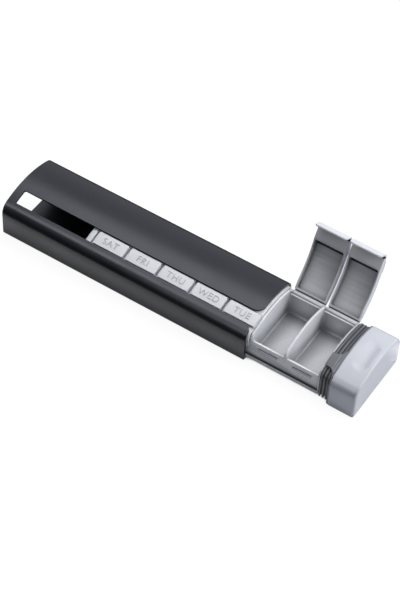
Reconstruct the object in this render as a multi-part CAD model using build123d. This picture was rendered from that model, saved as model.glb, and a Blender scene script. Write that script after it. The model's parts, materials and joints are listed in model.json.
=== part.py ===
"""Weekly pill organizer: a drawer of seven lidded compartments slides in an arched sleeve.

The origin is the middle of the sleeve's flat bottom. +X points from the sleeve to the end cap,
-Y is the side with the slot window, and +Z is up. Lengths are in millimetres, angles in degrees.
Pieces are drawn with the drawer shut and the lids down, and then moved to where they rest:
the drawer pulled out by drawer_out, and the lids of open_days swung back by lid_open_angle.
"""

from build123d import *
from math import degrees, sqrt
import os

# Outer sleeve
sleeve_width = 55.5
sleeve_height = 30.0
arch_rise = 6.3
shoulder_radius = 8.0
floor_edge_radius = 1.0
least_radius = 0.6
sleeve_wall = 1.6
sleeve_edge_radius = 0.4

# Slot window in the top of the sleeve
slot_front = 20.8
slot_rear = 10.0
slot_end_gap = 0.5
slot_corner_radius = 1.2
mouth_front_radius = 4.5
mouth_rear_radius = 6.0

# Fingertip notch in the left end of the sleeve's floor
notch_width = 32.0
notch_depth = 4.5
notch_radius = 3.0

# Drawer tray
slide_gap = 0.4
compartment_pitch = 25.0
divider_thickness = 1.5
tray_floor = 1.4
tray_wall = 1.4
rail_height = 2.6
groove_width = 1.0
groove_depth = 1.7
front_rim_below_shoulder = 6.1
rear_rim_above_hinge = 0.6
compartment_radius = 1.5
tray_end_plate = 3.9
tray_end_inset = 0.6
end_lip = 0.6
end_lip_thickness = 0.75
neck_depth = 4.0
plug_wall = 2.0
plug_length = 10.0

# Snap ridge on the front wall of each compartment
ridge_length = 13.5
ridge_height = 1.2
ridge_proud = 0.4
ridge_chamfer = 0.36
ridge_above_flange = 0.8
ridge_groove_height = 0.7
ridge_groove_depth = 0.6

# Lids
day_names = ["sun", "mon", "tue", "wed", "thu", "fri", "sat"]
open_days = ["sun", "mon"]
lid_open_angle = 122.0
open_lid_clearance = 1.5
lid_shell = 1.2
lid_divider_gap = 0.25
lid_seat_gap = 0.3
lid_rim_depth = 4.5
lid_rim_thickness = 1.1
lid_rear_rim = 1.2
panel_front = 13.5
panel_corner_radius = 1.0
flange_gap = 0.6
flange_below_shoulder = 12.0
flange_corner_radius = 2.5

# Raised day block on each lid
block_length = 22.6
block_front = 20.1
block_rear = 11.0
block_below_sleeve = 0.3
block_corner_radius = 0.8
block_edge_radius = 0.35

# Hinges
hinge_below_shoulder = 4.3
barrel_radius = 1.5
barrel_side_gap = 0.1
barrel_wall_gap = 0.25
barrel_end_gap = 0.3
ear_width = 2.6
ear_drop = 2.5
pin_radius = 0.75
pin_gap = 0.1
pin_end_gap = 0.15

# End seal
seal_length = 7.5
seal_collar = 1.1
collar_below_cap = 0.3
rib_count = 3
rib_width = 1.2
rib_gap = 1.15
rib_height = 1.3
rib_radius = 0.35
rib_slide_gap = 0.1
pad_gap = 0.4

# End cap
cap_length = 18.7
cap_wall = 2.0
cap_fit_gap = 0.05
cap_edge_radius = 1.6
cap_rim_radius = 0.4
dimple_length = 26.0
dimple_width = 11.5
dimple_depth = 1.1
dimple_from_end = 8.6
dimple_forward = 1.5

# How far a cutter passes through what it cuts
overrun = 5.0

# Insets of each piece from the outside of the sleeve
slide_inset = sleeve_wall + slide_gap
under_lid_inset = slide_inset + lid_shell
lid_rim_inset = under_lid_inset + lid_rim_depth
divider_inset = under_lid_inset + lid_seat_gap
lip_inset = slide_inset + end_lip
rib_inset = sleeve_wall + rib_slide_gap
valley_inset = rib_inset + rib_height
neck_inset = slide_inset + neck_depth
plug_inset = cap_wall + cap_fit_gap

# Heights and places along Y
shoulder_height = sleeve_height - arch_rise
hinge_height = shoulder_height - hinge_below_shoulder
rear_rim_height = hinge_height + rear_rim_above_hinge
front_rim_height = shoulder_height - front_rim_below_shoulder
flange_bottom = shoulder_height - flange_below_shoulder
ridge_centre_height = flange_bottom + ridge_above_flange
half_width = sleeve_width / 2
crown_radius = (half_width**2 + arch_rise**2) / (2 * arch_rise)
crown_centre = sleeve_height - crown_radius
slide_side = half_width - slide_inset
floor_top = slide_inset + tray_floor
hinge_y = slide_side - barrel_side_gap - barrel_radius
front_wall_outside = flange_gap + under_lid_inset - half_width
front_wall_inside = front_wall_outside + tray_wall
rear_wall_outside = hinge_y - barrel_radius - barrel_wall_gap
rear_wall_inside = rear_wall_outside - tray_wall
lid_rear_bottom = hinge_height + barrel_radius + lid_seat_gap
across = (-half_width - overrun, half_width + overrun)
upper_half = (sleeve_height / 2, sleeve_height + overrun)

# Lengths along X
compartments_length = len(day_names) * compartment_pitch
sleeve_length = tray_end_inset + tray_end_plate + compartments_length + divider_thickness + seal_length
drawer_out = seal_length + divider_thickness + len(open_days) * compartment_pitch + open_lid_clearance

# Places along X with the drawer shut, from the cap's end to the other
sleeve_left = -sleeve_length / 2
sleeve_right = sleeve_length / 2
cap_start = sleeve_right + seal_collar
cap_end = cap_start + cap_length
end_wall_right = sleeve_right - seal_length
last_divider = end_wall_right - divider_thickness / 2
divider_places = [last_divider - i * compartment_pitch for i in range(len(day_names) + 1)]
first_wall_left = divider_places[-1] - divider_thickness / 2
tray_left = sleeve_left + tray_end_inset
block_margin = (compartment_pitch - block_length) / 2
lid_margin = divider_thickness / 2 + lid_divider_gap
slot_left = divider_places[-1] + block_margin - slot_end_gap


def arch(inset):
    """The sleeve's D-shaped outline, moved inwards all round by inset."""
    half = half_width - inset
    radius = crown_radius - inset
    shoulder_z = crown_centre + sqrt(radius**2 - half**2)
    corners = [(-half, shoulder_z), (-half, inset), (half, inset), (half, shoulder_z)]
    crown = ThreePointArc(corners[-1], (0, crown_centre + radius), corners[0])
    face = make_face(Polyline(*corners) + crown)
    shoulders = face.vertices().sort_by(Axis.Y)[2:]
    face = fillet(shoulders, max(shoulder_radius - inset, least_radius))
    feet = face.vertices().sort_by(Axis.Y)[:2]
    return fillet(feet, max(floor_edge_radius - inset, least_radius))


def slab(inset, start, end):
    """The outline moved inwards by inset, carried along X from start to end."""
    return Pos(start, 0, 0) * extrude(Plane.YZ * arch(inset), amount=end - start)


def block(x, y, z):
    """A box between the two places given along each axis."""
    size = (x[1] - x[0], y[1] - y[0], z[1] - z[0])
    return Pos(x[0], y[0], z[0]) * Box(*size, align=(Align.MIN, Align.MIN, Align.MIN))


def rod(radius, start, end, y, z):
    """A cylinder along X from start to end."""
    upright = Cylinder(radius, end - start, align=(Align.CENTER, Align.CENTER, Align.MIN))
    return Pos(start, y, z) * Rot(0, 90, 0) * upright


def slot_space(gap, right, z):
    """The slot with its flared mouth, drawn inwards by gap, as far as right and between two heights."""
    front, rear = gap - slot_front, -gap - slot_rear
    space = block((slot_left + gap, right), (front, rear), z)
    corners = space.edges().filter_by(Axis.Z).sort_by(Axis.X)[:2]
    space = fillet(corners, slot_corner_radius)
    for edge, radius, side in (
        (-slot_front, mouth_front_radius, -1),
        (-slot_rear, mouth_rear_radius, 1),
    ):
        centre = (sleeve_right - radius, edge + side * radius)
        reach = sorted((centre[1], edge - side * gap))
        flare = block((centre[0], right), reach, z)
        corner = Cylinder(radius + gap, z[1] - z[0], align=(Align.CENTER, Align.CENTER, Align.MIN))
        space += flare - Pos(*centre, z[0]) * corner
    return space


def outer_sleeve():
    """The arched tube, open at both ends, with the slot window and the fingertip notch."""
    body = slab(0, sleeve_left, sleeve_right)
    ends = body.faces().sort_by(Axis.X)
    body = fillet(ends[0].edges() + ends[-1].edges(), sleeve_edge_radius)
    body -= slab(sleeve_wall, sleeve_left - overrun, sleeve_right + overrun)
    body -= slot_space(0, sleeve_right + overrun, upper_half)
    notch = block(
        (sleeve_left - overrun, sleeve_left + notch_depth),
        (-notch_width / 2, notch_width / 2),
        (-overrun, sleeve_wall + overrun),
    )
    notch = fillet(notch.edges().filter_by(Axis.Z).sort_by(Axis.X)[2:], notch_radius)
    return body - notch


def compartment(right_divider):
    """The room of one compartment, to the left of the divider at right_divider."""
    x = (
        right_divider - compartment_pitch + divider_thickness / 2,
        right_divider - divider_thickness / 2,
    )
    room = block(x, (front_wall_inside, rear_wall_inside), (floor_top, sleeve_height + overrun))
    corners = room.edges().filter_by(Axis.Z) + room.faces().sort_by(Axis.Z)[0].edges()
    room = fillet(corners, compartment_radius)
    top = sleeve_height + overrun
    front = block(x, (across[0], front_wall_inside + compartment_radius), (front_rim_height, top))
    rear = block(x, (rear_wall_inside - compartment_radius, across[1]), (rear_rim_height, top))
    return room + front + rear


def snap_ridge(right_divider):
    """The low ridge that a lid's front flange snaps over, and the shallow groove above it."""
    middle = right_divider - compartment_pitch / 2
    x = (middle - ridge_length / 2, middle + ridge_length / 2)
    z = (ridge_centre_height - ridge_height / 2, ridge_centre_height + ridge_height / 2)
    ridge = block(x, (front_wall_outside - ridge_proud, front_wall_inside), z)
    outer_edges = ridge.faces().sort_by(Axis.Y)[0].edges()
    groove_y = (front_wall_outside - ridge_proud, front_wall_outside + ridge_groove_depth)
    groove = block(x, groove_y, (z[1], z[1] + ridge_groove_height))
    return chamfer(outer_edges, ridge_chamfer), groove


def hinge_ear(place):
    """A lug behind the rear wall at a divider, which carries the ends of two hinge pins."""
    x = (place - ear_width / 2, min(place + ear_width / 2, end_wall_right))
    foot = block(x, (rear_wall_inside, hinge_y), (hinge_height - ear_drop, rear_rim_height))
    return foot + rod(barrel_radius, *x, hinge_y, hinge_height)


def pin_ends(right_divider):
    """The two ends along X of the hinge pin to the left of a divider."""
    return right_divider - compartment_pitch + pin_end_gap, right_divider - pin_end_gap


def drawer_tray():
    """The tray: base rails, seven compartments, hinge ears, end plates and the plug for the cap."""
    along = (tray_left, end_wall_right)
    rail_top = slide_inset + rail_height
    tray = slab(slide_inset, *along) & block(along, across, (0, rail_top))
    groove_y = (front_wall_outside - groove_width, front_wall_outside)
    tray -= block(along, groove_y, (rail_top - groove_depth, rail_top + overrun))
    walls = block(
        (first_wall_left, end_wall_right),
        (front_wall_outside, rear_wall_outside),
        (slide_inset, sleeve_height),
    )
    tray += slab(divider_inset, first_wall_left, end_wall_right) & walls
    for place in divider_places[:-1]:
        ridge, groove = snap_ridge(place)
        tray -= compartment(place) + groove
        tray += ridge
    tray += slab(slide_inset, tray_left, first_wall_left)
    tray += slab(lip_inset, end_wall_right - end_lip_thickness, end_wall_right)
    for place in divider_places:
        tray += hinge_ear(place)
    for place in divider_places[:-1]:
        tray -= rod(pin_radius, *pin_ends(place), hinge_y, hinge_height)
    tray += slab(neck_inset, end_wall_right - divider_thickness / 2, cap_start)
    tray += slab(plug_inset, cap_start, cap_start + plug_length)
    plug_end = cap_start + plug_length + overrun
    tray -= slab(neck_inset + plug_wall, end_wall_right + plug_wall, plug_end)
    return tray - slab(plug_inset + plug_wall, cap_start + plug_wall, plug_end)


def day_block(middle):
    """The raised block of a lid, solid down to the underside of the lid's shell."""
    x = (middle - block_length / 2, middle + block_length / 2)
    raised = block(x, (-block_front, -block_rear), upper_half)
    raised = fillet(raised.edges().filter_by(Axis.Z), block_corner_radius)
    raised &= slab(block_below_sleeve, *x)
    raised = fillet(raised.faces().sort_by(Axis.Z)[-1].edges(), block_edge_radius)
    return raised - slab(under_lid_inset, *x)


def lid(right_divider):
    """A lid with its flange, day block, hinge barrel and the frame round its recessed panel, shut."""
    middle = right_divider - compartment_pitch / 2
    x = (right_divider - compartment_pitch + lid_margin, right_divider - lid_margin)
    front = block(x, (across[0], 0), (flange_bottom, sleeve_height))
    front = fillet(front.edges().filter_by(Axis.Y).sort_by(Axis.Z)[:2], flange_corner_radius)
    rear = block(x, (0, across[1]), (lid_rear_bottom, sleeve_height))
    shell = (slab(slide_inset, *x) - slab(under_lid_inset, *x)) & (front + rear)

    frame_y = (front_wall_inside + lid_seat_gap, rear_wall_outside - lid_seat_gap)
    frame_z = (rear_rim_height + lid_seat_gap, sleeve_height)
    frame = (slab(slide_inset, *x) - slab(lid_rim_inset, *x)) & block(x, frame_y, frame_z)
    panel_x = (x[0] + lid_rim_thickness, x[1] - lid_rim_thickness)
    panel = block(panel_x, (-panel_front, frame_y[1] - lid_rear_rim), upper_half)
    panel = fillet(panel.edges().filter_by(Axis.Z), panel_corner_radius)
    shell += frame - (panel & slab(under_lid_inset, *panel_x))
    shell += day_block(middle)

    barrel_x = (
        right_divider - compartment_pitch + ear_width / 2 + barrel_end_gap,
        right_divider - ear_width / 2 - barrel_end_gap,
    )
    web = block(barrel_x, (hinge_y - barrel_radius, slide_side), (hinge_height, sleeve_height))
    shell += web & slab(slide_inset, *barrel_x)
    shell += rod(barrel_radius, *barrel_x, hinge_y, hinge_height)
    return shell - rod(pin_radius + pin_gap, *x, hinge_y, hinge_height)


def hinge_pin(right_divider):
    """The pin of one lid."""
    return rod(pin_radius, *pin_ends(right_divider), hinge_y, hinge_height)


def end_seal():
    """The rubber seal: a ribbed band, a collar against the cap, and a pad that fills the slot's mouth."""
    seal = slab(valley_inset, end_wall_right, cap_start)
    margin = (seal_length - rib_count * rib_width - (rib_count - 1) * rib_gap) / 2
    for i in range(rib_count):
        start = end_wall_right + margin + i * (rib_width + rib_gap)
        rib = slab(rib_inset, start, start + rib_width)
        sides = rib.faces().sort_by(Axis.X)
        seal += fillet(sides[0].edges() + sides[-1].edges(), rib_radius)
    seal += slab(collar_below_cap, sleeve_right, cap_start)
    pad = slab(block_below_sleeve, end_wall_right, sleeve_right)
    seal += pad & slot_space(pad_gap, sleeve_right, upper_half)
    return seal - slab(neck_inset, end_wall_right - overrun, cap_start + overrun)


def end_cap():
    """The hollow cap over the plug of the tray, with a thumb dimple pressed into its crown."""
    cap = slab(0, cap_start, cap_end)
    cap = fillet(cap.faces().sort_by(Axis.X)[-1].edges(), cap_edge_radius)
    cap = fillet(cap.faces().sort_by(Axis.X)[0].edges(), cap_rim_radius)
    cap -= slab(cap_wall, cap_start - overrun, cap_end - cap_wall)

    half_dimple = dimple_width / 2
    ball = (half_dimple**2 + dimple_depth**2) / (2 * dimple_depth)
    middle = (cap_end - dimple_from_end, sleeve_height - dimple_depth + ball)
    turn = degrees((dimple_length - dimple_width) / crown_radius)
    lean = degrees(dimple_forward / crown_radius)
    crown_axis = Axis((0, 0, crown_centre), (1, 0, 0))
    disc = Plane.XZ * (Pos(*middle) * Circle(ball))
    tool = revolve(disc, axis=crown_axis, revolution_arc=turn)
    tool = tool.rotate(crown_axis, lean - turn / 2)
    for side in (-1, 1):
        end_ball = Pos(middle[0], 0, middle[1]) * Sphere(ball)
        tool += end_ball.rotate(crown_axis, lean + side * turn / 2)
    return cap - tool


def pulled_out(shape):
    """A piece of the drawer, moved to where the drawer rests."""
    return Pos(drawer_out, 0, 0) * shape


hinge_axis = Axis((0, hinge_y, hinge_height), (1, 0, 0))
pieces = {
    "outer_sleeve": outer_sleeve(),
    "drawer_tray": pulled_out(drawer_tray()),
    "end_seal": pulled_out(end_seal()),
    "end_cap": pulled_out(end_cap()),
}
for day, place in zip(day_names, divider_places):
    day_lid = lid(place)
    if day in open_days:
        day_lid = day_lid.rotate(hinge_axis, -lid_open_angle)
    pieces[f"lid_{day}"] = pulled_out(day_lid)
    pieces[f"hinge_pin_{day}"] = pulled_out(hinge_pin(place))

os.makedirs("parts", exist_ok=True)
for name, shape in pieces.items():
    export_step(shape, f"parts/{name}.step")
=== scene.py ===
"""The looks of the weekly pill organizer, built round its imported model.

Shapes are worked out in millimetres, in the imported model's frame, and become metres when a mesh is made.
"""

import json
import math

import bmesh
import bpy
import numpy as np
from mathutils import Matrix, Vector


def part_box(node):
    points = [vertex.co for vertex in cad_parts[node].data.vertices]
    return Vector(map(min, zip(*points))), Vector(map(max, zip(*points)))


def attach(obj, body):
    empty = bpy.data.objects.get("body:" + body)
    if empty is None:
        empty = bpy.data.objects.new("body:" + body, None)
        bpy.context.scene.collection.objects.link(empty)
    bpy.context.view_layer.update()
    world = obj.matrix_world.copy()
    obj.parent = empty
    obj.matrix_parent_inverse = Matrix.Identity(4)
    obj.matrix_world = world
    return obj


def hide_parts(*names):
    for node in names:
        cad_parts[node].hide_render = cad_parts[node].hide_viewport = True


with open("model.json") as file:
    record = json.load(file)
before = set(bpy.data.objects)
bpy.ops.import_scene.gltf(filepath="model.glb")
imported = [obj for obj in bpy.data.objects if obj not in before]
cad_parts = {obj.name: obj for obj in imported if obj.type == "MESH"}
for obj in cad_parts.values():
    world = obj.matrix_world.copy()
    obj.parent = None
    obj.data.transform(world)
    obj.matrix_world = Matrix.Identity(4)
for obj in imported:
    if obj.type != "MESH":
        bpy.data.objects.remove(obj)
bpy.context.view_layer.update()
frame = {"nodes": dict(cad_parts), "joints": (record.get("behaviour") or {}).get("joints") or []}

MM = 0.001

# Section of the outer sleeve
HALF_WIDTH = 27.75
SLEEVE_HEIGHT = 30.0
ARCH_RISE = 6.3
SHOULDER_RADIUS = 8.0
FOOT_RADIUS = 1.0
LEAST_RADIUS = 0.6
SLEEVE_WALL = 1.6
SLEEVE_EDGE = 0.35
SLEEVE_EDGE_SEGMENTS = 3
SLEEVE_ROW_STEP = 12.0
SLEEVE_MOUTH_ROWS = 10

# Slot window and fingertip notch of the sleeve
SLOT_FRONT = -20.8
SLOT_REAR = -10.0
SLOT_FROM_LEFT = 5.95
SLOT_CORNER = 1.2
SLOT_CORNER_ROWS = 6
MOUTH_FRONT_RADIUS = 4.5
MOUTH_REAR_RADIUS = 6.0
NOTCH_HALF_WIDTH = 16.0
NOTCH_DEPTH = 4.5
NOTCH_CORNER = 3.0
NOTCH_CORNER_ROWS = 8

# End cap
CAP_WALL = 2.0
CAP_EDGE = 1.6
CAP_RIM = 0.4
CAP_CORNER_ROW = 0.5
CAP_FIRST_ROW = 0.8
CAP_ROW_STEP = 0.4
CAP_RIM_ROWS = 6
CAP_EDGE_ROWS = 15
DIMPLE_HALF_LENGTH = 13.0
DIMPLE_HALF_WIDTH = 5.9
DIMPLE_DEPTH = 1.15
DIMPLE_POWER = 1.6
DIMPLE_FROM_END = 8.6
DIMPLE_MIDDLE_Y = -1.5
CLOSING_INSETS = (4.0, 7.0, 10.0, 12.5)

# End seal
RIB_COUNT = 3
RIB_WIDTH = 1.2
RIB_GAP = 1.15
RIB_INSET = 1.7
VALLEY_INSET = 3.0
RIB_ROUNDING = 0.35
RIB_ROW_SHARES = (-0.12, 0.0, 0.1, 0.35, 1.0)
COLLAR_LENGTH = 1.1
COLLAR_INSET = 0.3
PAD_INSET = 0.3
PAD_GAP = 0.4
PAD_SOFTNESS = 0.45
PAD_ROUNDING_SHARE = 0.8
SEAL_STEP = 0.04
SEAL_MOUTH_ROWS = 8
NECK_INSET = 6.0

# Lids
DAYS = ("sun", "mon", "tue", "wed", "thu", "fri", "sat")
BLOCK_MIDDLE_Y = -15.6
BLOCK_INSET = 0.3
LETTER_HEIGHT = 4.6
LETTER_RAISED = 0.28
LETTER_EDGE = 0.06
LETTER_SPACING = 1.12
CAPITAL_SHARE = 0.72
UNDERSIDE_INSET = 3.2
STRIP_REAR_Y = -13.5
# A thin near-black plate under each lid: a painted shadow along the rear of its front strip
SHADOW_STRIP_WIDTH = 2.6
SHADOW_STRIP_HALF_LENGTH = 11.2
SHADOW_STRIP_THICKNESS = 0.05
SHADOW_STRIP_ROWS = 5

# Softening of the moulded edges of the tray and the lids
MOULDED_EDGE = 0.22
MOULDED_EDGE_SEGMENTS = 2
MERGE_DISTANCE = 0.002
FLAT_ANGLE = 0.6
SHARP_ANGLE = 38.0

# Finishes, with their painted shade and painted edge highlights
CLOUD_SCALE = 28.0
CLOUD_LOW = 0.3
CLOUD_HIGH = 0.7
GLOSSIER = 0.04
DULLER = 0.05
# Edges lightened by pointiness: partly scuffing, partly a painted highlight
EDGE_LIGHTENING_STARTS = 0.52
EDGE_LIGHTENING_FULL = 0.62
EDGE_LIGHTENING_PATCHES = 900.0
# Painted shade in hollows and corners, found by ambient occlusion
SHADE_SAMPLES = 8
SHADE_KINDS = (("Hollow", 0.3, 0.97), ("Corner", 0.42, 0.85))
STEEL = (0.6, 0.6, 0.6)
DRAWN_STRETCH = (0.05, 1.0, 1.0)
DRAWN_LINES = 6000.0
DRAWN_GLOSS = (0.22, 0.42)

crown_radius = (HALF_WIDTH**2 + ARCH_RISE**2) / (2 * ARCH_RISE)
crown_centre = SLEEVE_HEIGHT - crown_radius


def box_mm(node):
    """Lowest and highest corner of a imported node, in millimetres to the hundredth."""
    low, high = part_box(node)
    return np.round(np.array(low) / MM, 2), np.round(np.array(high) / MM, 2)


sleeve_left, sleeve_right = box_mm("outer_sleeve")[0][0], box_mm("outer_sleeve")[1][0]
seal_start = box_mm("end_seal")[0][0]
cap_start, cap_end = box_mm("end_cap")[0][0], box_mm("end_cap")[1][0]
pin_low, pin_high = box_mm("hinge_pin_sun")
hinge_y, hinge_z = (pin_low[1:] + pin_high[1:]) / 2
lid_middles = {day: float(sum(b[0] for b in box_mm(f"hinge_pin_{day}")) / 2) for day in DAYS}
rest_angles = {j["child"]: -min(j["range_deg"]) for j in frame["joints"] if "range_deg" in j}


def section_of(inset):
    """Radii, shoulder angle and shoulder height of the D-shaped section moved inwards by inset."""
    half = HALF_WIDTH - inset
    radius = crown_radius - inset
    soft = np.maximum(SHOULDER_RADIUS - inset, LEAST_RADIUS)
    foot = np.maximum(FOOT_RADIUS - inset, LEAST_RADIUS)
    turn = np.arcsin((half - soft) / (radius - soft))
    height = crown_centre + (radius - soft) * np.cos(turn)
    return half, radius, soft, foot, turn, height


_, _, _, _, crown_turn, shoulder_height = section_of(0.0)
CROWN_END = crown_radius * crown_turn
SHOULDER_END = CROWN_END + SHOULDER_RADIUS * (math.pi / 2 - crown_turn)
SIDE_END = SHOULDER_END + shoulder_height - FOOT_RADIUS
FOOT_END = SIDE_END + FOOT_RADIUS * math.pi / 2
FLOOR_END = FOOT_END + HALF_WIDTH - FOOT_RADIUS


def section(s, inset):
    """Point (y, z) of the D-shaped section moved inwards by inset.

    The distance s runs along the outer section from the middle of the crown, and its sign is that of y:
    the crown's arc, the shoulder's arc, the straight side, the foot's arc, then the floor to its middle.
    """
    s, inset = np.broadcast_arrays(np.asarray(s, float), np.asarray(inset, float))
    half, radius, soft, foot, turn, height = section_of(inset)
    along = np.abs(s)
    crown = turn * along / CROWN_END
    shoulder = turn + (math.pi / 2 - turn) * (along - CROWN_END) / (SHOULDER_END - CROWN_END)
    side_z = np.clip(shoulder_height - (along - SHOULDER_END), inset + foot, height)
    heel = math.pi / 2 * (along - SIDE_END) / (FOOT_END - SIDE_END)
    floor_y = (half - foot) * (FLOOR_END - along) / (FLOOR_END - FOOT_END)
    stretch = np.searchsorted([CROWN_END, SHOULDER_END, SIDE_END, FOOT_END], along)
    y = np.choose(stretch, [
        radius * np.sin(crown),
        half - soft + soft * np.sin(shoulder),
        half,
        half - foot + foot * np.cos(heel),
        floor_y,
    ])
    z = np.choose(stretch, [
        crown_centre + radius * np.cos(crown),
        height + soft * np.cos(shoulder),
        side_z,
        inset + foot - foot * np.sin(heel),
        inset,
    ])
    return np.copysign(y, s), z


def along_crown(y):
    """Distance along the outer section at which the crown or the shoulder has that y."""
    far = np.abs(y)
    on_crown = crown_radius * np.arcsin(np.minimum(far / crown_radius, 1))
    lean = np.clip((far - HALF_WIDTH + SHOULDER_RADIUS) / SHOULDER_RADIUS, 0, 1)
    on_shoulder = CROWN_END + SHOULDER_RADIUS * (np.arcsin(lean) - crown_turn)
    return np.copysign(np.where(on_crown <= CROWN_END, on_crown, on_shoulder), y)


def round_in(distance, radius):
    """How far a quarter round lies from its straight side: radius - sqrt(radius^2 - (radius - d)^2)."""
    left = radius - np.clip(distance, 0, radius)
    return radius - np.sqrt(radius**2 - left**2)


def quarter(start, radius, steps):
    """Places along a quarter round from start, spaced by equal angles: they are closest at the start."""
    angle = np.linspace(0, math.pi / 2, steps + 1)
    return start + radius * (1 - np.cos(angle))


def columns_between(knots, counts):
    """Evenly spaced columns from each knot to the next, where a knot holds one value for each row."""
    blocks = []
    for start, end, count in zip(knots, knots[1:], counts):
        shares = np.arange(count) / count
        blocks.append(start[:, None] + (end - start)[:, None] * shares)
    return np.concatenate(blocks, axis=1)


def grid_quads(rows, columns, wrap_rows=False, wrap_columns=False):
    """Corner numbers of the cells of a grid of points; a wrapped side joins its end to its start."""
    i = np.arange(rows if wrap_rows else rows - 1)[:, None]
    j = np.arange(columns if wrap_columns else columns - 1)[None, :]
    next_i = (i + 1) % rows
    next_j = (j + 1) % columns
    corners = (i * columns + j, i * columns + next_j, next_i * columns + next_j, next_i * columns + j)
    return np.stack(np.broadcast_arrays(*corners), axis=-1)


def new_piece(name, points, faces, body, material, stands_for=(), closed=True):
    """A smooth-shaded mesh from points in millimetres, riding on a body.

    A closed one gets its faces turned outwards.
    """
    mesh = bpy.data.meshes.new(name)
    mesh.from_pydata((np.asarray(points) * MM).tolist(), [], [list(map(int, f)) for f in faces])
    shell = bmesh.new()
    shell.from_mesh(mesh)
    bmesh.ops.delete(shell, geom=[v for v in shell.verts if not v.link_faces], context="VERTS")
    if closed:
        bmesh.ops.recalc_face_normals(shell, faces=shell.faces)
    shell.to_mesh(mesh)
    shell.free()
    mesh.shade_smooth()
    mesh.materials.append(material)
    piece = bpy.data.objects.new(name, mesh)
    bpy.context.scene.collection.objects.link(piece)
    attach(piece, body)
    if stands_for:
        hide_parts(*stands_for)
    return piece


def node_group(name, inputs, outputs):
    """An empty shader group with named float, colour or vector sockets."""
    group = bpy.data.node_groups.new(name, "ShaderNodeTree")
    kinds = {"float": "NodeSocketFloat", "colour": "NodeSocketColor", "vector": "NodeSocketVector"}
    for label, kind in inputs:
        group.interface.new_socket(name=label, in_out="INPUT", socket_type=kinds[kind])
    for label, kind in outputs:
        group.interface.new_socket(name=label, in_out="OUTPUT", socket_type=kinds[kind])
    return group, group.nodes.new("NodeGroupInput"), group.nodes.new("NodeGroupOutput")


def add(tree, kind, **values):
    """A node with its properties and input values set."""
    node = tree.nodes.new(kind)
    for key, value in values.items():
        if hasattr(node, key):
            setattr(node, key, value)
        else:
            node.inputs[key.replace("_", " ")].default_value = value
    return node


def moulded_grain():
    """Group: fine moulded grain as a height, and slow cloudy changes of tone, from noise on the piece."""
    group, given, result = node_group(
        "moulded_grain",
        [("Vector", "vector"), ("Grain Scale", "float"), ("Cloud Scale", "float")],
        [("Height", "float"), ("Tone", "float")],
    )
    grain = add(group, "ShaderNodeTexNoise", Detail=3.0, Roughness=0.6)
    cloud = add(group, "ShaderNodeTexNoise", Detail=4.0, Roughness=0.55)
    link = group.links.new
    link(given.outputs["Vector"], grain.inputs["Vector"])
    link(given.outputs["Vector"], cloud.inputs["Vector"])
    link(given.outputs["Grain Scale"], grain.inputs["Scale"])
    link(given.outputs["Cloud Scale"], cloud.inputs["Scale"])
    link(grain.outputs["Fac"], result.inputs["Height"])
    link(cloud.outputs["Fac"], result.inputs["Tone"])
    return group


def edge_scuff_and_highlight():
    """Group: lightens a colour on the piece's sharp outer edges, broken up by noise: partly scuffing, partly
    a painted highlight along the edges.
    """
    group, given, result = node_group(
        "edge_scuff_and_highlight",
        [("Colour", "colour"), ("Worn Or Lit Colour", "colour"), ("Vector", "vector"), ("Amount", "float")],
        [("Colour", "colour")],
    )
    link = group.links.new
    shape = add(group, "ShaderNodeNewGeometry")
    edge = add(group, "ShaderNodeMapRange", From_Min=EDGE_LIGHTENING_STARTS, From_Max=EDGE_LIGHTENING_FULL)
    noise = add(group, "ShaderNodeTexNoise", Scale=EDGE_LIGHTENING_PATCHES, Detail=3.0)
    broken = add(group, "ShaderNodeMath", operation="MULTIPLY")
    amount = add(group, "ShaderNodeMath", operation="MULTIPLY")
    mix = add(group, "ShaderNodeMix", data_type="RGBA")
    link(shape.outputs["Pointiness"], edge.inputs["Value"])
    link(given.outputs["Vector"], noise.inputs["Vector"])
    link(edge.outputs["Result"], broken.inputs[0])
    link(noise.outputs["Fac"], broken.inputs[1])
    link(broken.outputs["Value"], amount.inputs[0])
    link(given.outputs["Amount"], amount.inputs[1])
    link(amount.outputs["Value"], mix.inputs["Factor"])
    link(given.outputs["Colour"], mix.inputs["A"])
    link(given.outputs["Worn Or Lit Colour"], mix.inputs["B"])
    link(mix.outputs["Result"], result.inputs["Colour"])
    return group


def painted_crevice_shade():
    """Group: painted shade, darkening a colour in the piece's own hollows and again in its corners, by how
    much is hidden.
    """
    group, given, result = node_group(
        "painted_crevice_shade",
        [("Colour", "colour"), ("Hollow Reach", "float"), ("Hollow Darkest", "float"),
         ("Corner Reach", "float"), ("Corner Darkest", "float")],
        [("Colour", "colour")],
    )
    link = group.links.new
    colour = given.outputs["Colour"]
    for kind, least, most in SHADE_KINDS:
        hidden = add(group, "ShaderNodeAmbientOcclusion", samples=SHADE_SAMPLES, only_local=True)
        amount = add(group, "ShaderNodeMapRange", From_Min=least, From_Max=most)
        shaded = add(group, "ShaderNodeMix", data_type="RGBA", blend_type="MULTIPLY")
        shaded.inputs["Factor"].default_value = 1.0
        link(given.outputs[f"{kind} Reach"], hidden.inputs["Distance"])
        link(hidden.outputs["AO"], amount.inputs["Value"])
        link(given.outputs[f"{kind} Darkest"], amount.inputs["To Min"])
        link(colour, shaded.inputs["A"])
        link(amount.outputs["Result"], shaded.inputs["B"])
        colour = shaded.outputs["Result"]
    link(colour, result.inputs["Colour"])
    return group


GRAIN = moulded_grain()
EDGE_SCUFF_AND_HIGHLIGHT = edge_scuff_and_highlight()
PAINTED_CREVICE_SHADE = painted_crevice_shade()


def group_node(tree, group, **values):
    """A group placed in a material, with its own input values."""
    node = tree.nodes.new("ShaderNodeGroup")
    node.node_tree = group
    for key, value in values.items():
        node.inputs[key.replace("_", " ")].default_value = value
    return node


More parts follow.
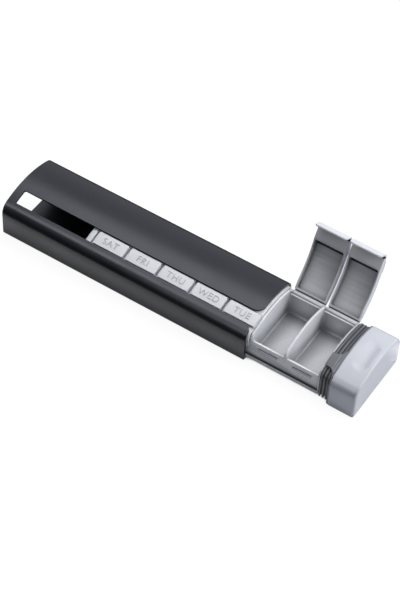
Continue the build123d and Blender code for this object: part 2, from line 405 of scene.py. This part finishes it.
def plastic(name, colour, roughness, grain_scale, grain_depth, tone, worn_or_lit, scuff_and_highlight=0.5, sheen=0.0,
            gleam=(1.0, 1.0, 1.0), hollow=(4.0, 0.8), corner=(1.2, 0.5)):
    """Moulded plastic or rubber: fine grain as bump, cloudy tone, lighter edges and darker crevices; the
    lighter edges are partly scuffing and partly painted highlight, the darker crevices are painted shade.

    tone is how far the clouds go either way, and the edge lightening factor is how much lighter a scuffed or
    highlighted edge is painted. hollow and corner each hold how far their painted shade reaches, in
    millimetres, and how dark it gets.
    """
    material = bpy.data.materials.new(name)
    material.use_nodes = True
    tree = material.node_tree
    link = tree.links.new
    shader = tree.nodes["Principled BSDF"]
    shader.inputs["Specular Tint"].default_value = (*gleam, 1)
    shader.inputs["Sheen Weight"].default_value = sheen
    place = add(tree, "ShaderNodeTexCoord")
    grain = group_node(tree, GRAIN, Grain_Scale=grain_scale, Cloud_Scale=CLOUD_SCALE)
    darker = [c * (1 - tone) for c in colour]
    lighter = [min(1.0, c * (1 + tone)) for c in colour]
    tint = add(tree, "ShaderNodeMix", data_type="RGBA")
    tint.inputs["A"].default_value = (*darker, 1)
    tint.inputs["B"].default_value = (*lighter, 1)
    edges = group_node(tree, EDGE_SCUFF_AND_HIGHLIGHT, Amount=scuff_and_highlight)
    edges.inputs["Worn Or Lit Colour"].default_value = (*[min(1.0, c * worn_or_lit) for c in colour], 1)
    corners = group_node(tree, PAINTED_CREVICE_SHADE, Hollow_Reach=hollow[0] * MM, Hollow_Darkest=hollow[1],
                         Corner_Reach=corner[0] * MM, Corner_Darkest=corner[1])
    gloss = add(tree, "ShaderNodeMapRange", From_Min=CLOUD_LOW, From_Max=CLOUD_HIGH)
    gloss.inputs["To Min"].default_value = roughness - GLOSSIER
    gloss.inputs["To Max"].default_value = roughness + DULLER
    bump = add(tree, "ShaderNodeBump", Distance=grain_depth * MM, Strength=1.0)
    link(place.outputs["Object"], grain.inputs["Vector"])
    link(place.outputs["Object"], edges.inputs["Vector"])
    link(grain.outputs["Tone"], tint.inputs["Factor"])
    link(tint.outputs["Result"], edges.inputs["Colour"])
    link(edges.outputs["Colour"], corners.inputs["Colour"])
    link(corners.outputs["Colour"], shader.inputs["Base Color"])
    link(grain.outputs["Tone"], gloss.inputs["Value"])
    link(gloss.outputs["Result"], shader.inputs["Roughness"])
    link(grain.outputs["Height"], bump.inputs["Height"])
    link(bump.outputs["Normal"], shader.inputs["Normal"])
    return material


def pin_metal():
    """Drawn steel wire: bright metal with fine lines along the pin."""
    material = bpy.data.materials.new("pin_steel_drawn")
    material.use_nodes = True
    tree = material.node_tree
    shader = tree.nodes["Principled BSDF"]
    shader.inputs["Metallic"].default_value = 1.0
    shader.inputs["Base Color"].default_value = (*STEEL, 1)
    place = add(tree, "ShaderNodeTexCoord")
    stretch = add(tree, "ShaderNodeMapping")
    stretch.inputs["Scale"].default_value = DRAWN_STRETCH
    lines = add(tree, "ShaderNodeTexNoise", Scale=DRAWN_LINES, Detail=2.0)
    gloss = add(tree, "ShaderNodeMapRange")
    gloss.inputs["To Min"].default_value = DRAWN_GLOSS[0]
    gloss.inputs["To Max"].default_value = DRAWN_GLOSS[1]
    tree.links.new(place.outputs["Object"], stretch.inputs["Vector"])
    tree.links.new(stretch.outputs["Vector"], lines.inputs["Vector"])
    tree.links.new(lines.outputs["Fac"], gloss.inputs["Value"])
    tree.links.new(gloss.outputs["Result"], shader.inputs["Roughness"])
    return material


# The edge lightening settings paint edges lighter, partly scuffing and partly a painted highlight; the
# hollow and corner settings paint shade into hollows and corners, deepest under the lids, inside the tray
# and between the seal's ribs
BLACK_SATIN = plastic(
    "black_satin", (0.0105, 0.0112, 0.0148), roughness=0.3, grain_scale=1700.0, grain_depth=0.002,
    tone=0.03, worn_or_lit=2.2, gleam=(0.88, 0.89, 1.0), hollow=(4.0, 1.0), corner=(1.2, 1.0),
)
TRAY_GREY = plastic(
    "tray_grey", (0.7, 0.715, 0.76), roughness=0.4, grain_scale=3000.0, grain_depth=0.006,
    tone=0.03, worn_or_lit=1.45, scuff_and_highlight=2.2, hollow=(14.0, 0.35), corner=(0.8, 0.45),
)
# Strong hollow and corner settings paint deep shade over the lid's underside
LID_GREY = plastic(
    "lid_grey", (0.755, 0.77, 0.81), roughness=0.42, grain_scale=3000.0, grain_depth=0.006,
    tone=0.03, worn_or_lit=1.2, scuff_and_highlight=1.5, hollow=(12.0, 0.12), corner=(1.4, 0.15),
)
LETTER_GREY = plastic(
    "letter_grey", (0.5, 0.51, 0.53), roughness=0.45, grain_scale=3000.0, grain_depth=0.006,
    tone=0.03, worn_or_lit=1.1,
)
CAP_GREY = plastic(
    "cap_grey", (0.59, 0.61, 0.67), roughness=0.36, grain_scale=3400.0, grain_depth=0.006,
    tone=0.03, worn_or_lit=1.12,
)
SEAL_RUBBER = plastic(
    "seal_rubber_grey", (0.125, 0.129, 0.15), roughness=0.42, grain_scale=2600.0, grain_depth=0.012,
    tone=0.08, worn_or_lit=2.4, scuff_and_highlight=1.6, sheen=0.1, hollow=(2.5, 0.6), corner=(0.8, 0.35),
)
# Near-black finish of the painted shadow strips under the lids
PAINTED_SHADOW_DARK = plastic(
    "crease_dark", (0.012, 0.012, 0.014), roughness=0.6, grain_scale=3000.0, grain_depth=0.006,
    tone=0.05, worn_or_lit=1.1,
)
PIN_STEEL = pin_metal()


def slot_edges(x, left, right, gap=0.0):
    """Front and rear edge of the slot at x: rounded in at its left end and flared out at its mouth."""
    corner = round_in(x - left, SLOT_CORNER)
    front = SLOT_FRONT + gap + corner - round_in(right - x, MOUTH_FRONT_RADIUS + gap)
    rear = SLOT_REAR - gap - corner + round_in(right - x, MOUTH_REAR_RADIUS + gap)
    return front, rear


def make_sleeve():
    """The sleeve as a sheet over (x, s) on its outer face, with the slot and the notch left out.

    Columns follow the edges of the slot and the notch: between two edges they are evenly spaced, and an
    edge moves with x by the quarter rounds of its corners. Solidify gives the wall and Bevel the edges.
    """
    slot_left = sleeve_left + SLOT_FROM_LEFT
    notch_end = sleeve_left + NOTCH_DEPTH
    rows = np.unique(np.round(np.concatenate([
        [sleeve_left, sleeve_right],
        quarter(notch_end, -NOTCH_CORNER, NOTCH_CORNER_ROWS),
        quarter(slot_left, SLOT_CORNER, SLOT_CORNER_ROWS),
        np.arange(slot_left + SLOT_CORNER, sleeve_right - MOUTH_REAR_RADIUS, SLEEVE_ROW_STEP),
        quarter(sleeve_right, -MOUTH_FRONT_RADIUS, SLEEVE_MOUTH_ROWS),
        quarter(sleeve_right, -MOUTH_REAR_RADIUS, SLEEVE_MOUTH_ROWS),
    ]), 4))
    level = np.ones_like(rows)
    front, rear = slot_edges(rows, slot_left, sleeve_right)
    notch_y = NOTCH_HALF_WIDTH - round_in(notch_end - rows, NOTCH_CORNER)
    notch = FOOT_END + HALF_WIDTH - FOOT_RADIUS - notch_y
    knots = [
        -FLOOR_END * level, -notch, -FOOT_END * level, -SIDE_END * level, -SHOULDER_END * level,
        along_crown(front), along_crown(rear), CROWN_END * level, SHOULDER_END * level,
        SIDE_END * level, FOOT_END * level, notch, FLOOR_END * level,
    ]
    counts = (3, 3, 6, 3, 14, 6, 18, 10, 3, 6, 3, 3)
    s = columns_between(knots, counts)
    y, z = section(s, 0.0)
    points = np.stack([np.broadcast_to(rows[:, None], s.shape), y, z], axis=-1).reshape(-1, 3)
    quads = grid_quads(*s.shape, wrap_columns=True)
    # The slot lies between the sixth and the seventh knot, the notch outside the second and the twelfth
    starts = np.cumsum((0, *counts))
    column = np.arange(s.shape[1])
    in_slot = (column >= starts[5]) & (column < starts[6])
    in_notch = (column < starts[1]) | (column >= starts[11])
    middle = ((rows[:-1] + rows[1:]) / 2)[:, None]
    open_cells = (in_slot & (middle > slot_left)) | (in_notch & (middle < notch_end))
    outwards = quads[~open_cells][:, ::-1]
    sleeve = new_piece("sleeve_shell", points, outwards, "sleeve", BLACK_SATIN,
                       ["outer_sleeve"], closed=False)
    wall = sleeve.modifiers.new("wall", "SOLIDIFY")
    wall.thickness = SLEEVE_WALL * MM
    wall.offset = -1
    wall.use_even_offset = True
    edge = sleeve.modifiers.new("edge", "BEVEL")
    edge.width = SLEEVE_EDGE * MM
    edge.segments = SLEEVE_EDGE_SEGMENTS
    edge.limit_method = "ANGLE"
    edge.angle_limit = math.radians(SHARP_ANGLE)
    edge.harden_normals = True


def ring_columns():
    """Distances s of the points of a whole section, closer on the crown and on the rounded corners."""
    level = np.ones(1)
    stops = [-FLOOR_END, -FOOT_END, -SIDE_END, -SHOULDER_END, -CROWN_END, 0.0,
             CROWN_END, SHOULDER_END, SIDE_END, FOOT_END, FLOOR_END]
    counts = (8, 6, 8, 12, 40, 40, 12, 8, 6, 8)
    return columns_between([stop * level for stop in stops], counts)[0]


def closed_by_fans(points, rows, columns):
    """Faces of a stack of rings whose first and last ring are closed by a point in their middle."""
    quads = grid_quads(rows, columns, wrap_columns=True).reshape(-1, 4)
    ends = []
    for ring in (0, rows - 1):
        first = ring * columns
        points = np.vstack([points, points[first:first + columns].mean(axis=0)])
        ends += [(first + j, first + (j + 1) % columns, len(points) - 1) for j in range(columns)]
    return points, [*quads.tolist(), *ends]


def make_cap():
    """The end cap as rings (x, inset): inner end, inner wall, rim, outer wall, rounded end, end face.

    A thumb dimple is pressed in by depth * (1 - q^2)^power, where q is the distance from the dimple's middle
    line over its half width.
    """
    s = ring_columns()
    inner_end = cap_end - CAP_WALL
    outer_start = cap_start + CAP_RIM
    outer_end = cap_end - CAP_EDGE
    rim = np.linspace(0, math.pi / 2, CAP_RIM_ROWS)
    outer_x = np.arange(outer_start + CAP_FIRST_ROW, outer_end, CAP_ROW_STEP)
    corner = np.linspace(0, math.pi / 2, CAP_EDGE_ROWS)
    x = np.concatenate([
        np.full(len(CLOSING_INSETS), inner_end), [inner_end - CAP_CORNER_ROW, cap_start],
        outer_start - CAP_RIM * np.cos(rim), outer_x,
        outer_end + CAP_EDGE * np.sin(corner), np.full(len(CLOSING_INSETS), cap_end),
    ])
    inset = np.concatenate([
        CLOSING_INSETS[::-1], [CAP_WALL, CAP_WALL],
        CAP_RIM * (1 - np.sin(rim)), np.zeros_like(outer_x),
        CAP_EDGE * (1 - np.cos(corner)), CLOSING_INSETS,
    ])
    across = crown_radius * np.arcsin(DIMPLE_MIDDLE_Y / crown_radius)
    straight = DIMPLE_HALF_LENGTH - DIMPLE_HALF_WIDTH
    beside = np.maximum(np.abs(s - across) - straight, 0)
    away = (x - (cap_end - DIMPLE_FROM_END))[:, None]
    q = np.hypot(away, beside[None, :]) / DIMPLE_HALF_WIDTH
    inner_rows = len(CLOSING_INSETS) + 2
    outside = (np.arange(len(x)) > inner_rows)[:, None]
    pressed = DIMPLE_DEPTH * np.clip(1 - q**2, 0, 1) ** DIMPLE_POWER * outside
    y, z = section(s[None, :], inset[:, None] + pressed)
    points = np.stack([np.broadcast_to(x[:, None], y.shape), y, z], axis=-1).reshape(-1, 3)
    points, faces = closed_by_fans(points, len(x), len(s))
    new_piece("cap_shell", points, faces, "drawer", CAP_GREY, ["end_cap"])


def rib_lows():
    """Where each rib of the seal begins: they are evenly spaced in the middle of the ribbed band."""
    length = cap_start - COLLAR_LENGTH - seal_start
    margin = (length - RIB_COUNT * RIB_WIDTH - (RIB_COUNT - 1) * RIB_GAP) / 2
    return seal_start + margin + np.arange(RIB_COUNT) * (RIB_WIDTH + RIB_GAP)


def rib_inset(x):
    """Inset of the seal's ribbed band at x: the ribs' rounded tops over straight valleys."""
    inset = np.full_like(x, VALLEY_INSET)
    for low in rib_lows():
        inside = np.minimum(x - low, low + RIB_WIDTH - x)
        top = RIB_INSET + round_in(inside, RIB_ROUNDING)
        inset = np.where(inside >= 0, np.minimum(inset, top), inset)
    return inset


def make_seal():
    """The end seal as rings over (x, s): inset is the ribs' profile, or the pad's where the slot's mouth is.

    Columns follow the pad's front and rear edge, with a narrow one for the step at each edge. Inside it, the
    pad rises from its edge by a share of a quarter round.
    """
    right = cap_start - COLLAR_LENGTH
    lows = rib_lows()[:, None]
    beside = np.array(RIB_ROW_SHARES) * RIB_ROUNDING
    x = np.unique(np.round(np.concatenate([
        [seal_start, right - SEAL_STEP, right, right + SEAL_STEP, cap_start],
        (lows + beside).ravel(),
        (lows + RIB_WIDTH - beside).ravel(),
        quarter(right, -MOUTH_FRONT_RADIUS, SEAL_MOUTH_ROWS),
        quarter(right, -MOUTH_REAR_RADIUS, SEAL_MOUTH_ROWS),
    ]), 4))
    x = x[x >= seal_start]
    front, rear = slot_edges(np.minimum(x, right), seal_start - SLOT_CORNER, right, PAD_GAP)
    front, rear = along_crown(front), along_crown(rear)
    level = np.ones_like(x)
    knots = [
        -FLOOR_END * level, -FOOT_END * level, -SIDE_END * level, -SHOULDER_END * level,
        front - SEAL_STEP, front + SEAL_STEP, front + PAD_SOFTNESS,
        rear - PAD_SOFTNESS, rear - SEAL_STEP, rear + SEAL_STEP,
        CROWN_END * level, SHOULDER_END * level, SIDE_END * level, FOOT_END * level, FLOOR_END * level,
    ]
    counts = (6, 6, 6, 18, 1, 4, 18, 4, 1, 34, 10, 6, 6, 6)
    s = columns_between(knots, counts)
    inside = np.minimum(s - front[:, None], rear[:, None] - s)
    ribs = np.broadcast_to(rib_inset(x)[:, None], s.shape)
    pad = PAD_INSET + round_in(inside, PAD_SOFTNESS) * PAD_ROUNDING_SHARE
    inset = np.where(inside > 0, np.minimum(pad, ribs), ribs)
    inset = np.where((x > right)[:, None], COLLAR_INSET, inset)
    y, z = section(s, inset)
    neck_y, neck_z = section(s, NECK_INSET)
    outer = np.stack([np.broadcast_to(x[:, None], s.shape), y, z], axis=-1)
    neck = np.stack([np.broadcast_to(x[:, None], s.shape), neck_y, neck_z], axis=-1)
    rings = np.concatenate([outer, neck[[-1, 0]]])
    quads = grid_quads(len(rings), s.shape[1], wrap_rows=True, wrap_columns=True)
    new_piece("seal_band", rings.reshape(-1, 3), quads.reshape(-1, 4), "drawer",
              SEAL_RUBBER, ["end_seal"])


def turned(points, day):
    """Points of a shut lid, turned about its hinge to where the lid rests."""
    angle = -math.radians(rest_angles.get(f"lid_{day}", 0.0))
    y, z = points[..., 1] - hinge_y, points[..., 2] - hinge_z
    turned_y = hinge_y + y * math.cos(angle) - z * math.sin(angle)
    turned_z = hinge_z + y * math.sin(angle) + z * math.cos(angle)
    return np.stack([points[..., 0], turned_y, turned_z], axis=-1)


def day_letters(day):
    """The raised day letters of a lid, laid on the curve of its block."""
    curve = bpy.data.curves.new("letters", "FONT")
    curve.body = day.upper()
    curve.size = LETTER_HEIGHT / CAPITAL_SHARE
    curve.align_x = "CENTER"
    curve.align_y = "CENTER"
    curve.space_character = LETTER_SPACING
    curve.extrude = LETTER_RAISED - LETTER_EDGE
    curve.bevel_depth = LETTER_EDGE
    curve.bevel_resolution = 1
    curve.offset = -LETTER_EDGE
    text = bpy.data.objects.new("letters", curve)
    bpy.context.scene.collection.objects.link(text)
    bpy.context.view_layer.update()
    flat = bpy.data.meshes.new_from_object(text)
    local = np.empty(len(flat.vertices) * 3)
    flat.vertices.foreach_get("co", local)
    local = local.reshape(-1, 3)
    faces = [list(polygon.vertices) for polygon in flat.polygons]
    bpy.data.objects.remove(text)
    middle = (local.min(axis=0) + local.max(axis=0)) / 2
    s = along_crown(np.array(BLOCK_MIDDLE_Y)) + local[:, 1] - middle[1]
    y, z = section(s, BLOCK_INSET - local[:, 2])
    points = np.stack([lid_middles[day] + local[:, 0] - middle[0], y, z], axis=-1)
    new_piece(f"letters_{day}", turned(points, day), faces, f"lid_{day}", LETTER_GREY)


def lid_shadow_strip(day):
    """A painted shadow under a lid: a thin near-black curved plate along the rear of its solid front strip.
    """
    y = np.linspace(STRIP_REAR_Y, STRIP_REAR_Y + SHADOW_STRIP_WIDTH, SHADOW_STRIP_ROWS)
    face_y, face_z = section(along_crown(y), UNDERSIDE_INSET)
    back_y, back_z = section(along_crown(y), UNDERSIDE_INSET + SHADOW_STRIP_THICKNESS)
    loop_y = np.concatenate([face_y, back_y[::-1]])
    loop_z = np.concatenate([face_z, back_z[::-1]])
    loop = np.stack([loop_y, loop_z], axis=-1)
    ends = lid_middles[day] + np.array([-SHADOW_STRIP_HALF_LENGTH, SHADOW_STRIP_HALF_LENGTH])
    points = np.concatenate([np.column_stack([np.full(len(loop), x), loop]) for x in ends])
    quads = grid_quads(2, len(loop), wrap_columns=True).reshape(-1, 4).tolist()
    caps = [range(len(loop)), range(len(loop), 2 * len(loop))]
    faces = [*quads, *caps]
    new_piece(f"crease_{day}", turned(points, day), faces, f"lid_{day}", PAINTED_SHADOW_DARK)


def soften(name, material):
    """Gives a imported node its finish, merges its loose triangles, joins its flats and rounds its edges."""
    node = frame["nodes"][name]
    node.data.materials.clear()
    node.data.materials.append(material)
    weld = node.modifiers.new("merge", "WELD")
    weld.merge_threshold = MERGE_DISTANCE * MM
    flat = node.modifiers.new("flats", "DECIMATE")
    flat.decimate_type = "DISSOLVE"
    flat.angle_limit = math.radians(FLAT_ANGLE)
    edge = node.modifiers.new("edge", "BEVEL")
    edge.width = MOULDED_EDGE * MM
    edge.segments = MOULDED_EDGE_SEGMENTS
    edge.use_clamp_overlap = False
    edge.limit_method = "ANGLE"
    edge.angle_limit = math.radians(SHARP_ANGLE)
    edge.harden_normals = True


make_sleeve()
make_cap()
make_seal()
soften("drawer_tray", TRAY_GREY)
for day in DAYS:
    soften(f"lid_{day}", LID_GREY)
    day_letters(day)
    # A painted shadow strip under the lid
    lid_shadow_strip(day)
    pin = frame["nodes"][f"hinge_pin_{day}"]
    pin.data.materials.clear()
    pin.data.materials.append(PIN_STEEL)


# Studio
FLOOR_SIZE = 8.0
FLOOR_BELOW = 0.0002
PAPER = (0.5, 0.515, 0.56)
THIN_PAPER = (0.12, 0.12, 0.12)
PAPER_GLOW = (0.93, 0.93, 0.93)
PAPER_NEAR = 0.08
PAPER_FAR = 0.25
PAPER_LEFT = 0.35
# Painted contact shadow: the floor's glow is dimmed where ambient occlusion finds the object near
CONTACT_REACH = 0.006
CONTACT_DARK = 0.05
CONTACT_LIGHT = 0.45
CONTACT_SAMPLES = 16
SHEET_REACH = 0.1
# Distance from the sleeve's middle plane in metres, and brightness in reflections
SHEET_PROFILE = (
    (0.028, 0.35),
    (0.037, 1.0),
    (0.039, 0.95),
    (0.045, 0.02),
)
SHEET_GLOW = 0.85
SKY = (0.93, 0.95, 1.0)
SKY_FRONT = 0.075
SKY_BEHIND = 0.8
SKY_TOP = 0.15
SKY_TURN = 0.1
LAMP_AIM = (0.04, 0.0, 0.02)
# Name, place, size across and along in metres, watts, and whether it lights matt surfaces too
LAMPS = (
    ("overhead", (-0.14, 0.45, 1.15), (1.15, 0.8), 8.0, True),
    ("right", (0.95, 0.3, 0.6), (0.7, 0.55), 7.0, True),
    ("highlight_card", (-0.33, -0.38, 0.94), (0.42, 0.75), 4.3, False),
    ("shoulder_card", (-0.03, -0.8, 0.5), (0.16, 0.5), 2.6, False),
)


def make_floor():
    """A plain floor: soft grey paper to the lamps, near white to the camera with a painted contact shadow, a
    pale glowing sheet in reflections.
    """
    mesh = bpy.data.meshes.new("floor")
    half = FLOOR_SIZE / 2
    corners = [(x * half, y * half, -FLOOR_BELOW) for x, y in ((-1, -1), (1, -1), (1, 1), (-1, 1))]
    mesh.from_pydata(corners, [], [(0, 1, 2, 3)])
    floor = bpy.data.objects.new("floor", mesh)
    bpy.context.scene.collection.objects.link(floor)
    material = bpy.data.materials.new("floor_paper")
    material.use_nodes = True
    tree = material.node_tree
    tree.nodes.clear()
    link = tree.links.new
    rays = add(tree, "ShaderNodeLightPath")
    shown = add(tree, "ShaderNodeMath", operation="MAXIMUM")
    paper = add(tree, "ShaderNodeBsdfDiffuse")
    paper_away = add(tree, "ShaderNodeMapRange", interpolation_type="SMOOTHSTEP")
    paper_away.inputs["From Min"].default_value = PAPER_NEAR
    paper_away.inputs["From Max"].default_value = PAPER_FAR
    paper_away.inputs["To Min"].default_value = 1.0
    paper_away.inputs["To Max"].default_value = PAPER_LEFT
    paper_shade = add(tree, "ShaderNodeMix", data_type="RGBA", blend_type="MULTIPLY")
    paper_shade.inputs["Factor"].default_value = 1.0
    paper_shade.inputs["A"].default_value = (*PAPER, 1)
    thin = add(tree, "ShaderNodeBsdfDiffuse")
    thin.inputs["Color"].default_value = (*THIN_PAPER, 1)
    glow = add(tree, "ShaderNodeEmission")
    glow.inputs["Color"].default_value = (*PAPER_GLOW, 1)
    open_sky = add(tree, "ShaderNodeAmbientOcclusion", samples=CONTACT_SAMPLES, Distance=CONTACT_REACH)
    contact = add(tree, "ShaderNodeMapRange", interpolation_type="SMOOTHSTEP",
                  From_Min=CONTACT_DARK, From_Max=CONTACT_LIGHT)
    place = add(tree, "ShaderNodeTexCoord")
    split = add(tree, "ShaderNodeSeparateXYZ")
    away = add(tree, "ShaderNodeMath", operation="ABSOLUTE")
    share = add(tree, "ShaderNodeMath", operation="DIVIDE")
    share.inputs[1].default_value = SHEET_REACH
    fade = add(tree, "ShaderNodeValToRGB")
    stops = fade.color_ramp.elements
    while len(stops) < len(SHEET_PROFILE):
        stops.new(1.0)
    for stop, (distance, level) in zip(stops, SHEET_PROFILE):
        stop.position = distance / SHEET_REACH
        stop.color = (level, level, level, 1)
    sheet = add(tree, "ShaderNodeBsdfDiffuse")
    lit = add(tree, "ShaderNodeEmission")
    lit.inputs["Strength"].default_value = SHEET_GLOW
    lit_sheet = add(tree, "ShaderNodeAddShader")
    white = add(tree, "ShaderNodeAddShader")
    mirrored = add(tree, "ShaderNodeMixShader")
    mix = add(tree, "ShaderNodeMixShader")
    out = add(tree, "ShaderNodeOutputMaterial")
    link(rays.outputs["Is Camera Ray"], shown.inputs[0])
    link(rays.outputs["Is Transmission Ray"], shown.inputs[1])
    link(thin.outputs["BSDF"], white.inputs[0])
    link(glow.outputs["Emission"], white.inputs[1])
    link(place.outputs["Object"], split.inputs["Vector"])
    link(split.outputs["Y"], away.inputs[0])
    link(away.outputs["Value"], paper_away.inputs["Value"])
    link(paper_away.outputs["Result"], paper_shade.inputs["B"])
    link(paper_shade.outputs["Result"], paper.inputs["Color"])
    link(away.outputs["Value"], share.inputs[0])
    link(share.outputs["Value"], fade.inputs["Fac"])
    link(fade.outputs["Color"], sheet.inputs["Color"])
    link(open_sky.outputs["AO"], contact.inputs["Value"])
    link(contact.outputs["Result"], glow.inputs["Strength"])
    link(rays.outputs["Is Glossy Ray"], mirrored.inputs["Fac"])
    link(paper.outputs["BSDF"], mirrored.inputs[1])
    link(fade.outputs["Color"], lit.inputs["Color"])
    link(sheet.outputs["BSDF"], lit_sheet.inputs[0])
    link(lit.outputs["Emission"], lit_sheet.inputs[1])
    link(lit_sheet.outputs["Shader"], mirrored.inputs[2])
    link(shown.outputs["Value"], mix.inputs["Fac"])
    link(mirrored.outputs["Shader"], mix.inputs[1])
    link(white.outputs["Shader"], mix.inputs[2])
    link(mix.outputs["Shader"], out.inputs["Surface"])
    mesh.materials.append(material)


def make_world():
    """A soft sky: light behind the object, dim overhead and dark in front of it."""
    world = bpy.data.worlds.new("studio")
    world.use_nodes = True
    tree = world.node_tree
    sky = tree.nodes["Background"]
    sky.inputs["Color"].default_value = (*SKY, 1)
    place = add(tree, "ShaderNodeTexCoord")
    split = add(tree, "ShaderNodeSeparateXYZ")
    behind = add(tree, "ShaderNodeMapRange", interpolation_type="SMOOTHSTEP")
    behind.inputs["From Min"].default_value = SKY_TURN
    behind.inputs["From Max"].default_value = 1.0
    behind.inputs["To Min"].default_value = SKY_FRONT
    behind.inputs["To Max"].default_value = SKY_BEHIND
    top = add(tree, "ShaderNodeMath", operation="MULTIPLY")
    top.inputs[1].default_value = SKY_TOP
    level = add(tree, "ShaderNodeMath", operation="ADD")
    tree.links.new(place.outputs["Generated"], split.inputs["Vector"])
    tree.links.new(split.outputs["Y"], behind.inputs["Value"])
    tree.links.new(split.outputs["Z"], top.inputs[0])
    tree.links.new(behind.outputs["Result"], level.inputs[0])
    tree.links.new(top.outputs["Value"], level.inputs[1])
    tree.links.new(level.outputs["Value"], sky.inputs["Strength"])
    bpy.context.scene.world = world


def make_lamp(name, place, size, watts, lights_matt):
    """A rectangular soft box that faces the middle of the object; a card shows in glossy surfaces alone."""
    lamp = bpy.data.lights.new(name, "AREA")
    lamp.shape = "RECTANGLE"
    lamp.size, lamp.size_y = size
    lamp.energy = watts
    holder = bpy.data.objects.new(name, lamp)
    bpy.context.scene.collection.objects.link(holder)
    holder.visible_diffuse = lights_matt
    holder.location = place
    holder.rotation_euler = (Vector(LAMP_AIM) - Vector(place)).to_track_quat("-Z", "Y").to_euler()


# Camera at the photograph's viewing angle
CAMERA_AZIMUTH = math.radians(30.62)
CAMERA_ELEVATION = math.radians(49.653)
CAMERA_ROLL = math.radians(3.433)
CAMERA_DISTANCE = 1.285317
CAMERA_SIDEWAYS = 0.035904
CAMERA_UPWARDS = -0.020438
CAMERA_START = (0.0005, 0.0, 0.0)
FOCAL_PIXELS = 1964.431
IMAGE_LONG_SIDE = 600
SENSOR = 36.0


def make_camera():
    """The camera, looking along -back, with its right and up turned by the roll."""
    back = Vector((
        math.sin(CAMERA_AZIMUTH) * math.cos(CAMERA_ELEVATION),
        -math.cos(CAMERA_AZIMUTH) * math.cos(CAMERA_ELEVATION),
        math.sin(CAMERA_ELEVATION),
    ))
    level = Vector((math.cos(CAMERA_AZIMUTH), math.sin(CAMERA_AZIMUTH), 0.0))
    upright = back.cross(level)
    right = level * math.cos(CAMERA_ROLL) + upright * math.sin(CAMERA_ROLL)
    up = upright * math.cos(CAMERA_ROLL) - level * math.sin(CAMERA_ROLL)
    lens = bpy.data.cameras.new("camera")
    lens.sensor_width = SENSOR
    lens.lens = FOCAL_PIXELS / IMAGE_LONG_SIDE * SENSOR
    camera = bpy.data.objects.new("camera", lens)
    bpy.context.scene.collection.objects.link(camera)
    place = Vector(CAMERA_START) + back * CAMERA_DISTANCE + right * CAMERA_SIDEWAYS + up * CAMERA_UPWARDS
    turn = Matrix((right, up, back)).transposed().to_4x4()
    camera.matrix_world = Matrix.Translation(place) @ turn
    bpy.context.scene.camera = camera


make_floor()
make_world()
for lamp in LAMPS:
    make_lamp(*lamp)
make_camera()
bpy.context.scene.view_settings.view_transform = "Standard"
